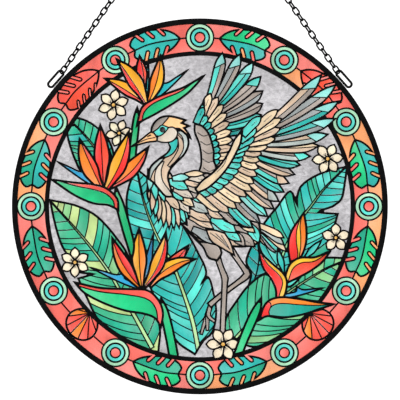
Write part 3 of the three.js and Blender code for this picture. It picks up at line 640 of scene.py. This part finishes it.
def drawHead():
    node = "bird_head_and_neck"
    neck = area([(-18, 60), (-13, 60), (-9.6, 55), (-9.4, 48), (-13, 41), (-19, 35), (-24, 29), (-25.5, 23),
            (-24, 17), (-21.5, 8, 1), (-27, 8), (-32, 13), (-37, 19), (-41, 22, 1), (-39.5, 31), (-33, 37.5),
            (-26, 42.5), (-23.6, 47), (-24.5, 52)], "tan", node, step=2)
    strip([(-18, 62, 4), (-12, 56.5, 4.6), (-10.6, 49, 5), (-13.5, 42, 4.2), (-18, 37, 2)], "paleGrey", node, 0.9,
            neck, step=2)
    strip([(-18, 57, 1), (-15.4, 52, 3.6), (-15.2, 46, 4), (-19, 39, 3.4), (-25, 32, 2)], ["tan", "paleCream"],
            node, 0.9, neck, step=2)
    strip([(-28, 41, 3.5), (-34, 36, 5), (-39.5, 29, 5.5), (-42, 20, 4)], "paleGrey", node, 0.9, neck, step=2)
    strip([(-29, 36, 1), (-33, 28.5, 4.4), (-32.5, 19, 6.4), (-27, 10.5, 7), (-22, 6, 3)], "paleCream", node, 0.9,
            neck, step=2)
    area([(-25.5, 51.5, 1), (-17.6, 54.5, 1), (-17.6, 49), (-20, 44), (-24, 40.5), (-31, 38, 1), (-25.5, 43),
            (-23.4, 47)], "teal", node, 1.1, step=1.6)
    area([(-39, 58.5, 1), (-37.5, 65), (-32, 70.5), (-25, 72), (-18, 70.8), (-11.5, 68.8, 1), (-14.5, 66.6, 1),
            (-8.8, 64.2, 1), (-12.6, 62.6, 1), (-9.4, 58.6), (-7.4, 54.4, 1), (-11, 57.6), (-15, 60.8), (-18.6, 62),
            (-30, 58)], "apricot", node, step=1.8)
    area([(-39, 58.5, 1), (-37, 65), (-32, 70.2), (-25, 71.6), (-28.8, 66.5), (-31.5, 63.5), (-35, 61)], "crown",
            node, 1.0, step=1.6)
    area([(-34.5, 52.8), (-30, 51.2), (-23, 51.6), (-18.6, 55.5), (-18, 60), (-21.5, 63.2), (-26, 62.4),
            (-29, 58.6), (-33, 56.5)], "paleCream", node, 1.2, step=1.6)
    area([(-38.5, 58.6, 1), (-33.5, 62), (-30.5, 64.8), (-25, 63, 1), (-28, 59), (-33, 56)], "turquoise", node, 1.0,
            step=1.5)
    beak = area([(-55, 47.6, 1), (-46, 54), (-39, 59.3), (-35.4, 57), (-34.2, 52.4), (-42, 51.2)], "apricot", node,
            1.4, step=2)
    stroke([(-53, 48.8), (-43, 53.4), (-35.5, 55)], 0.7, beak, 2)
    stroke([(-42, 55.6), (-39, 57)], 1.0, beak, 2)
    paint(circleLoop(-29.8, 61.2, 2.1, 16), "eye", node, 0.5)


drawBorder()
window = paint(circleLoop(0, 0, windowPlan["radius"], 150), "window", "background", windowPlan["line"], None)
drawTopStem()
drawLeaves()
drawLegs()
drawFarWing()
drawBody()
drawNearWing()
drawBlooms()
drawHead()
drawFlowerRight()
for node in flowerPlan:
    drawFlower(node)
print("picture drawn:", len(shapes), "shapes")

# One plane cut by every outline. Each triangle belongs to the topmost shape over it.
points, edges, rings = [], [], []
for number, shape in enumerate(shapes):
    loop, line = shape["loop"], shape["line"]
    if line:
        steps = [(shifted(loop, line / 2), "lead"), (loop, "lead"), (shifted(loop, -line / 2), "glass")]
    else:
        steps = [(loop, "glass" if shape["tint"] is not None else "lead")]
    for ring, what in steps:
        if ring is not None:
            first, count = len(points), len(ring)
            edges.extend((first + i, first + (i + 1) % count) for i in range(count))
            points.extend(Vector(p) for p in ring.tolist())
            rings.append((number, what, ring))
for radius in (leadBuild["outerEnd"], glassBuild["reachInRim"]):
    first, count = len(points), 240
    edges.extend((first + i, first + (i + 1) % count) for i in range(count))
    points.extend(Vector(p) for p in circleLoop(0, 0, radius, count).tolist())
print("cutting the plane:", len(points), "points")


def covered(ring):
    low, high = ring.min(0), ring.max(0)
    near = np.nonzero(np.all((middles > low) & (middles < high), axis=1))[0]
    winding = np.zeros(len(near), int)
    x, z = middles[near].T
    for (ax, az), (bx, bz) in zip(ring, np.roll(ring, -1, 0)):
        side = (bx - ax) * (z - az) - (x - ax) * (bz - az)
        winding += (az <= z) & (bz > z) & (side > 0)
        winding -= (az > z) & (bz <= z) & (side < 0)
    over = np.zeros(len(middles), bool)
    over[near[winding != 0]] = True
    return over


# Edges between two areas that are seen, without the points that hidden outlines left on straight runs
def seenEdges(given):
    mark = [(kind[t], owner[t], ringOf[t] if kind[t] == "lead" else 0) for t in range(len(triangles))]
    beside = {}
    for (a, b), sides in edgeSides.items():
        if len(sides) == 1 or mark[sides[0]] != mark[sides[1]]:
            beside.setdefault(a, set()).add(b)
            beside.setdefault(b, set()).add(a)
    for v in [v for v in beside if len(beside[v]) == 2 and not given[v]]:
        a, b = beside[v]
        one, two = corners[a] - corners[v], corners[b] - corners[v]
        bent = abs(one[0] * two[1] - one[1] * two[0]) > 1e-3 * np.hypot(*one) * np.hypot(*two)
        if not bent and one @ two < 0 and b not in beside[a]:
            beside[a] = (beside[a] - {v}) | {b}
            beside[b] = (beside[b] - {v}) | {a}
            del beside[v]
    place = {v: i for i, v in enumerate(beside)}
    return [Vector(corners[v]) for v in beside], [(place[a], place[b]) for a in beside for b in beside[a] if a < b]


# The first cut finds the edges that are seen, and the second is made by them alone
for last in (False, True):
    plane = delaunay_2d_cdt(points, edges, [], 0, 1e-5, True)
    corners = np.array([tuple(v) for v in plane[0]])
    triangles = [tuple(t) for t in plane[2]]
    middles = corners[np.array(triangles)].mean(1)
    owner = np.full(len(triangles), -1)
    isLead = np.zeros(len(triangles), bool)
    ringOf = np.full(len(triangles), -1)
    wholeArea, glassArea = {}, {}       # of each shape, with and without its line
    for index, (number, what, ring) in enumerate(rings):
        over = covered(ring)
        shape = shapes[number]
        ground = shape.get("ground")
        if shape["inside"] is not None:
            over &= (glassArea if ground is None else wholeArea).get(shape["inside"], False)
        owner[over], isLead[over], ringOf[over] = number, what == "lead", index
        if ground is not None and what == "glass":
            owner[over] = ground
        wholeArea.setdefault(number, over)
        if what == "glass":
            glassArea[number] = over
    owner[isLead & (np.hypot(*middles.T) > leadBuild["outerEnd"])] = -1
    kind = np.where(owner < 0, "none", np.where(isLead, "lead", "glass")).tolist()
    owner, ringOf = owner.tolist(), ringOf.tolist()
    edgeSides = {}
    for t, triangle in enumerate(triangles):
        if kind[t] == "none":
            continue
        for a, b in zip(triangle, triangle[1:] + triangle[:1]):
            edgeSides.setdefault((min(a, b), max(a, b)), []).append(t)
    print("plane cut:", len(triangles), "triangles")
    if not last:
        points, edges = seenEdges(plane[3])


def connectedPlates():
    group = {}
    parent = list(range(len(triangles)))
    def root(t):
        while parent[t] != t:
            parent[t] = parent[parent[t]]
            t = parent[t]
        return t
    for pair in edgeSides.values():
        if len(pair) == 2 and all(kind[t] == "glass" for t in pair) and owner[pair[0]] == owner[pair[1]]:
            parent[root(pair[0])] = root(pair[1])
    for t in range(len(triangles)):
        if kind[t] == "glass":
            group.setdefault(root(t), []).append(t)
    return list(group.values())


# Materials: small helpers for their nodes
def newMaterial(name):
    material = bpy.data.materials.new(name)
    material.use_nodes = True
    return material, material.node_tree, material.node_tree.nodes["Principled BSDF"]


def setInputs(node, values):
    for name, value in values.items():
        node.inputs[name].default_value = value


def newNode(tree, kind, values=None, **settings):
    node = tree.nodes.new("ShaderNode" + kind)
    for name, value in settings.items():
        setattr(node, name, value)
    setInputs(node, values or {})
    return node


def join(tree, *links):
    for source, output, target, entry in links:
        tree.links.new(source.outputs[output], target.inputs[entry])


glassLooks = {
    "streaky": {"transmission": 0.8, "roughness": 0.12, "streak": 0.24, "size": 80, "bump": 0.1, "bumpSize": 260,
                "stretch": 0.45},
    "opal": {"transmission": 0.6, "roughness": 0.18, "streak": 0.08, "size": 90, "bump": 0.1, "bumpSize": 260,
             "stretch": 0.6},
    "rippled": {"transmission": 0.8, "roughness": 0.2, "streak": 0.42, "size": 230, "bump": 0.35, "bumpSize": 380,
                "stretch": 1.4},
}


def glassMaterial(name):
    look = glassLooks[name]
    material, tree, shader = newMaterial(name + "Glass")
    place = newNode(tree, "TexCoord")
    tint = newNode(tree, "VertexColor", layer_name="tint")
    stretch = newNode(tree, "Mapping", {"Scale": (1, 1, look["stretch"])})
    wave = newNode(tree, "TexNoise", {"Scale": look["size"], "Detail": 3, "Distortion": 0.8}, noise_dimensions="4D")
    shift = newNode(tree, "Math", {1: 40}, operation="MULTIPLY")
    ramp = newNode(tree, "MapRange", {"From Min": 0.3, "From Max": 0.7, "To Min": 1 - look["streak"],
                                      "To Max": 1 + look["streak"] * 0.45})
    shade = newNode(tree, "VectorMath", operation="SCALE")
    grain = newNode(tree, "TexNoise", {"Scale": look["bumpSize"], "Detail": 2})
    bump = newNode(tree, "Bump", {"Strength": look["bump"], "Distance": 0.0006})
    join(tree, (place, "Object", stretch, "Vector"), (stretch, "Vector", wave, "Vector"), (tint, "Alpha", shift, 0),
            (shift, 0, wave, "W"), (wave, "Fac", ramp, "Value"), (tint, "Color", shade, 0),
            (ramp, "Result", shade, "Scale"), (shade, "Vector", shader, "Base Color"),
            (place, "Object", grain, "Vector"), (grain, "Fac", bump, "Height"), (bump, "Normal", shader, "Normal"))
    setInputs(shader, {"Transmission Weight": look["transmission"], "Roughness": look["roughness"], "IOR": 1.3})
    return material


metalLooks = {
    "patinaLead": {"dark": (0.0012, 0.0012, 0.0013), "light": (0.004, 0.004, 0.0044), "size": 140,
                   "rough": (0.38, 0.62), "bump": 0.25},
    "blackWire": {"dark": (0.002, 0.002, 0.0022), "light": (0.01, 0.01, 0.0095), "size": 500,
                  "rough": (0.28, 0.5), "bump": 0.2},
}


def metalMaterial(name):
    look = metalLooks[name]
    material, tree, shader = newMaterial(name)
    place = newNode(tree, "TexCoord")
    cloud = newNode(tree, "TexNoise", {"Scale": look["size"], "Detail": 5})
    ramp = newNode(tree, "ValToRGB")
    for element, position, tone in zip(ramp.color_ramp.elements, (0.42, 0.75), ("dark", "light")):
        element.position, element.color = position, (*look[tone], 1)
    rough = newNode(tree, "MapRange", {"To Min": look["rough"][0], "To Max": look["rough"][1]})
    bump = newNode(tree, "Bump", {"Strength": look["bump"], "Distance": 0.0003})
    join(tree, (place, "Object", cloud, "Vector"), (cloud, "Fac", ramp, "Fac"), (ramp, "Color", shader, "Base Color"),
         (cloud, "Fac", rough, "Value"), (rough, "Result", shader, "Roughness"), (cloud, "Fac", bump, "Height"),
         (bump, "Normal", shader, "Normal"))
    setInputs(shader, {"Specular IOR Level": 0.04})
    return material


glassOf = {name: glassMaterial(name) for name in glassLooks}
metalOf = {name: metalMaterial(name) for name in metalLooks}


def addPiece(name, verts, faces, material, nodes, slotName, tints=None, smooth=None):
    mesh = bpy.data.meshes.new(name)
    mesh.from_pydata(verts, [], faces)
    mesh.update()
    mesh.materials.append(material)
    if smooth is not None:
        mesh.polygons.foreach_set("use_smooth", smooth)
    if tints is not None:
        layer = mesh.color_attributes.new("tint", "FLOAT_COLOR", "POINT")
        layer.data.foreach_set("color", np.array(tints, np.float32).ravel())
    piece = bpy.data.objects.new(name, mesh)
    bpy.context.scene.collection.objects.link(piece)
    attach(piece, "root")
    if nodes:
        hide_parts(*nodes)


def toLinear(colour):
    return [c / 12.92 if c <= 0.04045 else ((c + 0.055) / 1.055) ** 2.4 for c in colour]


slotOfNode = {p["node"]: p["material_slot"] for p in frame["record"]["subparts"]}
glassKinds = {"background": "rippled", "bloom": "opal"}     # by the first word of a node, and the rest is streaky


def cadNodesOf(base):
    return [n for n in slotOfNode if n == base or (n.startswith(base + "_") and n[len(base) + 1:].isdigit())]


def plateBoundary(plate):
    members = set(plate)
    rim = []
    for t in plate:
        triangle = triangles[t]
        for a, b in zip(triangle, triangle[1:] + triangle[:1]):
            if sum(s in members for s in edgeSides[(min(a, b), max(a, b))]) == 1:
                rim.append((a, b))
    return rim


# The front and back of some triangles, and walls along their rim
def slabFaces(flats, rim, place, base, count):
    faces = []
    for t in flats:
        a, b, c = (place[v] + base for v in triangles[t])
        faces += [(a, b, c), (c + count, b + count, a + count)]
    walls = [(place[a] + base, place[b] + base) for a, b in rim]
    return faces + [(b, a, a + count, b + count) for a, b in walls]


def buildGlass():
    rng = np.random.default_rng(7)
    byNode = {}
    for plate in connectedPlates():
        flat = corners[[list(triangles[t]) for t in plate]]
        size = 0.5 * np.abs(np.cross(flat[:, 1] - flat[:, 0], flat[:, 2] - flat[:, 0])).sum()
        if size > glassBuild["smallest"]:
            byNode.setdefault(shapes[owner[plate[0]]]["node"], []).append(plate)
            continue
        for t in plate:
            kind[t] = "lead"
    half = glassBuild["thickness"] / 2
    for node, plates in sorted(byNode.items()):
        verts, faces, tints = [], [], []
        for plate in plates:
            tint = shapes[owner[plate[0]]]["tint"]
            used = sorted({v for t in plate for v in triangles[t]})
            middle = corners[used].mean(0)
            pick = int(abs(math.sin(middle[0] * 0.37 + middle[1] * 0.61)) * 997)    # by its place, among its tints
            name = tint if isinstance(tint, str) else tint[pick % len(tint)]
            strength = 1 + glassBuild["jitter"] * (rng.random() - 0.5)
            colour = np.array(toLinear(np.clip(np.array(glassTints[name]) * strength, 0, 1)))
            tone = rng.random()
            turn = rng.random() * 2 * math.pi
            lean = (corners[used] - middle) @ np.array([math.cos(turn), math.sin(turn)])
            lean /= max(np.abs(lean).max(), 1e-6)
            place = {v: i for i, v in enumerate(used)}
            inward = np.zeros((len(used), 2))
            rim = plateBoundary(plate)
            for a, b in rim:
                way = corners[b] - corners[a]
                out = np.array([-way[1], way[0]]) / max(np.hypot(*way), 1e-9)
                inward[place[a]] += out
                inward[place[b]] += out
            length = np.maximum(np.hypot(inward[:, 0], inward[:, 1]), 1e-9)[:, None]
            flat = corners[used] + np.where(length > 1e-6, inward / length, 0) * glassBuild["clearance"]
            base, count = len(verts), len(used)
            for depth in (-half, half):
                verts.extend((x * mm, depth * mm, panelMiddle + z * mm) for x, z in flat.tolist())
            faces += slabFaces(plate, rim, place, base, count)
            washed = colour * (1 - glassBuild["shade"] * np.clip(lean, 0, 1)[:, None])
            washed += (1 - washed) * glassBuild["wash"] * np.clip(-lean, 0, 1)[:, None]
            tints.extend([[*c, tone] for c in washed.tolist()] * 2)
        cadNodes = cadNodesOf(node)
        slotName = slotOfNode[cadNodes[0]] if cadNodes else "bird_glass"
        addPiece(node + "_glass", verts, faces, glassOf[glassKinds.get(node.split("_")[0], "streaky")], cadNodes,
                slotName, tints)
    print("glass built:", len(byNode), "pieces,", sum(len(p) for p in byNode.values()), "plates")


def buildLead():
    ringsAt, boundary, rim = {}, set(), []
    leadTriangles = [t for t in range(len(triangles)) if kind[t] == "lead"]
    for t in leadTriangles:
        for v in triangles[t]:
            ringsAt.setdefault(v, set()).add(ringOf[t])
    for (a, b), sides in edgeSides.items():
        lead = [t for t in sides if kind[t] == "lead"]
        if len(lead) == 1:
            boundary.update((a, b))
            triangle = triangles[lead[0]]
            i = triangle.index(a)
            rim.append((a, b) if triangle[(i + 1) % 3] == b else (b, a))
    used = sorted({v for t in leadTriangles for v in triangles[t]})
    place = {v: i for i, v in enumerate(used)}
    heights = []
    for v in used:
        low = leadBuild["edgeHeight"]
        crest = low
        if v not in boundary:
            for ring in ringsAt[v]:
                if ring + 1 in ringsAt[v] and rings[ring][0] == rings[ring + 1][0]:
                    line = shapes[rings[ring][0]]["line"]
                    crest = min(leadBuild["crest"], low + leadBuild["crestShare"] * line)
        heights.append(glassBuild["thickness"] / 2 + crest)
    verts = [(corners[v][0] * mm, -h * mm, panelMiddle + corners[v][1] * mm) for v, h in zip(used, heights)]
    verts += [(x, -y, z) for x, y, z in verts]
    faces = slabFaces(leadTriangles, rim, place, 0, len(used))
    smooth = [True] * (len(faces) - len(rim)) + [False] * len(rim)
    addPiece("solder_lines", verts, faces, metalOf["patinaLead"], ["seam_network"], "lead", None, smooth)
    print("solder lines:", len(faces) + len(rim), "triangles")


buildGlass()
buildLead()


# Rim: a rounded lead channel round the border's glass
rimBuild = {"inner": 145.6, "lip": 1.62, "sides": 220, "bevel": 0.9}


def turned(name, profile, sides, material, nodes, slotName):
    verts, faces = [], []
    for s in range(sides):
        turn = 2 * math.pi * s / sides
        verts.extend((r * math.cos(turn) * mm, y * mm, panelMiddle + r * math.sin(turn) * mm) for r, y in profile)
    n = len(profile)
    for s in range(sides):
        for i in range(n):
            a, b = s * n + i, s * n + (i + 1) % n
            c, d = ((s + 1) % sides) * n + (i + 1) % n, ((s + 1) % sides) * n + i
            faces.append((a, b, c, d))
    addPiece(name, verts, faces, material, nodes, slotName, None, [True] * len(faces))


def buildRim():
    half, inner, outer, bevel, lip = rimDepth / 2, rimBuild["inner"], panelRadius, rimBuild["bevel"], rimBuild["lip"]
    front = [(inner, -lip), (inner, -half + bevel)]
    front += [(inner + bevel * (1 - math.cos(a)), -half + bevel * (1 - math.sin(a))) for a in (0.4, 0.8, 1.2, 1.57)]
    front += [(outer - bevel * (1 - math.cos(a)), -half + bevel * (1 - math.sin(a)))
              for a in (1.57, 1.2, 0.8, 0.4, 0)]
    back = [(r, -y) for r, y in reversed(front)]
    channel = [(glassBuild["reachInRim"] + 0.5, lip), (glassBuild["reachInRim"] + 0.5, -lip)]
    turned("rim_came", front + back + channel, rimBuild["sides"], metalOf["patinaLead"], ["rim"], "lead")


buildRim()


# Wire: hanging loops, chain links and the top ring
wireBuild = {
    "loopAngle": 48.5, "loopLength": 18.0, "loopWidth": 6.6, "loopWire": 2.0, "fitGap": 0.3,
    "linkPitch": 5.8, "linkWidth": 5.6, "linkWire": 1.4, "linkTurn": 28, "ringDiameter": 20.0, "ringWire": 2.2,
    "linkGap": 0.3,         # that two links stand apart
    "linkSides": (28, 10), "loopSides": (40, 12), "ringSides": (56, 14),    # round the oval, and round the wire
}


def wireOval(length, width, wire, sides):
    around, section = sides
    radius, straight = (width - wire) / 2, (length - width) / 2
    verts, faces = [], []
    for s in range(around):
        turn = 2 * math.pi * (s + 0.5) / around
        out = np.array([math.cos(turn), math.sin(turn), 0])
        middle = out * radius + np.array([0, straight * (1 if math.sin(turn) > 0 else -1), 0])
        for k in range(section):
            a = 2 * math.pi * k / section
            verts.append(middle + out * (wire / 2 * math.cos(a)) + np.array([0, 0, wire / 2 * math.sin(a)]))
    for s in range(around):
        for k in range(section):
            a, b = s * section + k, s * section + (k + 1) % section
            c, d = ((s + 1) % around) * section + (k + 1) % section, ((s + 1) % around) * section + k
            faces.append((a, d, c, b))
    return np.array(verts), faces


def placed(verts, across, along, middle):
    normal = np.cross(across, along)
    return verts @ np.stack([across, along, normal]) + middle


def addWire(name, parts, nodes):
    verts, faces = [], []
    for some, someFaces in parts:
        base = len(verts)
        verts.extend((x * mm, y * mm, z * mm) for x, y, z in some.tolist())
        faces.extend(tuple(i + base for i in face) for face in someFaces)
    addPiece(name, verts, faces, metalOf["blackWire"], nodes, "blackened_steel", None, [True] * len(faces))


def buildHangers():
    plan = wireBuild
    centre = panelMiddle / mm
    ringMiddle = np.array([0, 0, -(plan["ringDiameter"] / 2 - plan["ringWire"])])
    ring, ringFaces = wireOval(plan["ringDiameter"], plan["ringDiameter"], plan["ringWire"], plan["ringSides"])
    addWire("top_ring_wire", [(placed(ring, np.array([1.0, 0, 0]), np.array([0, 0, 1.0]), ringMiddle), ringFaces)],
            ["top_ring"])
    orbit = panelRadius + plan["loopWidth"] / 2 + plan["fitGap"]
    for name, side in (("left", -1), ("right", 1)):
        x, z = polar(side * plan["loopAngle"], orbit)
        middle = np.array([x, 0, z + centre])
        outX, outZ = polar(side * plan["loopAngle"], 1)
        alongX, alongZ = polar(side * (plan["loopAngle"] - 90), 1)
        out, along = np.array([outX, 0, outZ]), np.array([alongX, 0, alongZ])
        loop, loopFaces = wireOval(plan["loopLength"], plan["loopWidth"], plan["loopWire"], plan["loopSides"])
        addWire("hanging_loop_%s_wire" % name, [(placed(loop, out, along, middle), loopFaces)],
                ["hanging_loop_" + name])
        foot = middle + along * (plan["loopLength"] - plan["loopWire"]) / 2
        pull = ringMiddle - foot
        pull /= np.linalg.norm(pull)
        head = ringMiddle - pull * (plan["ringDiameter"] - plan["ringWire"]) / 2
        start = foot - pull * (plan["loopWire"] / 2 + plan["fitGap"])
        end = head + pull * (plan["ringWire"] / 2 + plan["fitGap"])
        span = np.linalg.norm(end - start)
        count = 2 * round((span / plan["linkPitch"] - 1) / 2) + 1
        pitch = span / count
        links = []
        for i in range(count):
            turn = math.radians(plan["linkTurn"] + 90 * (i % 2))
            across = math.cos(turn) * np.cross(pull, [0, 1.0, 0]) + math.sin(turn) * np.array([0, 1.0, 0])
            link, linkFaces = wireOval(pitch + 2 * plan["linkWire"] - plan["linkGap"], plan["linkWidth"],
                    plan["linkWire"], plan["linkSides"])
            links.append((placed(link, across, pull, start + pull * (i + 0.5) * pitch), linkFaces))
        addWire("chain_%s_links" % name, links, ["chain_" + name])
    print("hangers built")


buildHangers()


# Room: near-white surroundings, a pale floor, soft lights and a straight-on camera
roomPlan = {
    "wall": (0.985, 0.985, 0.99), "light": 1.32,
    "floorDrop": 0.62, "floorReach": 1.3, "floorTint": (0.86, 0.86, 0.85),
    "lamps": (("keyLight", (-0.9, -1.6, 0.7), 9, 0.9),      # place, power, size
              ("backLight", (0.9, 1.6, 0.6), 6, 0.9)),
    "cameraAway": 3.0, "viewWidth": 0.3193, "aimX": 0.0001, "aimUp": 0.0051,
}


def buildRoom():
    scene = bpy.context.scene
    world = bpy.data.worlds.new("paleRoom")
    scene.world = world
    world.use_nodes = True
    setInputs(world.node_tree.nodes["Background"], {"Color": (*roomPlan["wall"], 1), "Strength": roomPlan["light"]})
    mesh = bpy.data.meshes.new("floor")
    reach, low = roomPlan["floorReach"], -roomPlan["floorDrop"]
    mesh.from_pydata([(-reach, -reach, low), (reach, -reach, low), (reach, reach, low), (-reach, reach, low)], [],
            [(0, 1, 2, 3)])
    floor = bpy.data.objects.new("floor", mesh)
    scene.collection.objects.link(floor)
    material, _, shader = newMaterial("paleFloor")
    setInputs(shader, {"Base Color": (*roomPlan["floorTint"], 1), "Roughness": 0.8})
    mesh.materials.append(material)
    for name, place, power, size in roomPlan["lamps"]:
        light = bpy.data.lights.new(name, "AREA")
        light.energy, light.size = power, size
        lamp = bpy.data.objects.new(name, light)
        lamp.location = place
        lamp.rotation_euler = (Vector((0, 0, panelMiddle)) - Vector(place)).to_track_quat("-Z", "Y").to_euler()
        scene.collection.objects.link(lamp)
    camera = bpy.data.cameras.new("camera")
    camera.sensor_fit, camera.sensor_width = "HORIZONTAL", 36
    camera.lens = 36 * roomPlan["cameraAway"] / roomPlan["viewWidth"]
    camera.clip_end = 50
    viewer = bpy.data.objects.new("camera", camera)
    viewer.location = (roomPlan["aimX"], -roomPlan["cameraAway"], panelMiddle + roomPlan["aimUp"])
    viewer.rotation_euler = (math.pi / 2, 0, 0)
    scene.collection.objects.link(viewer)
    scene.camera = viewer
    scene.view_settings.view_transform = "Standard"
    print("room built")


buildRoom()
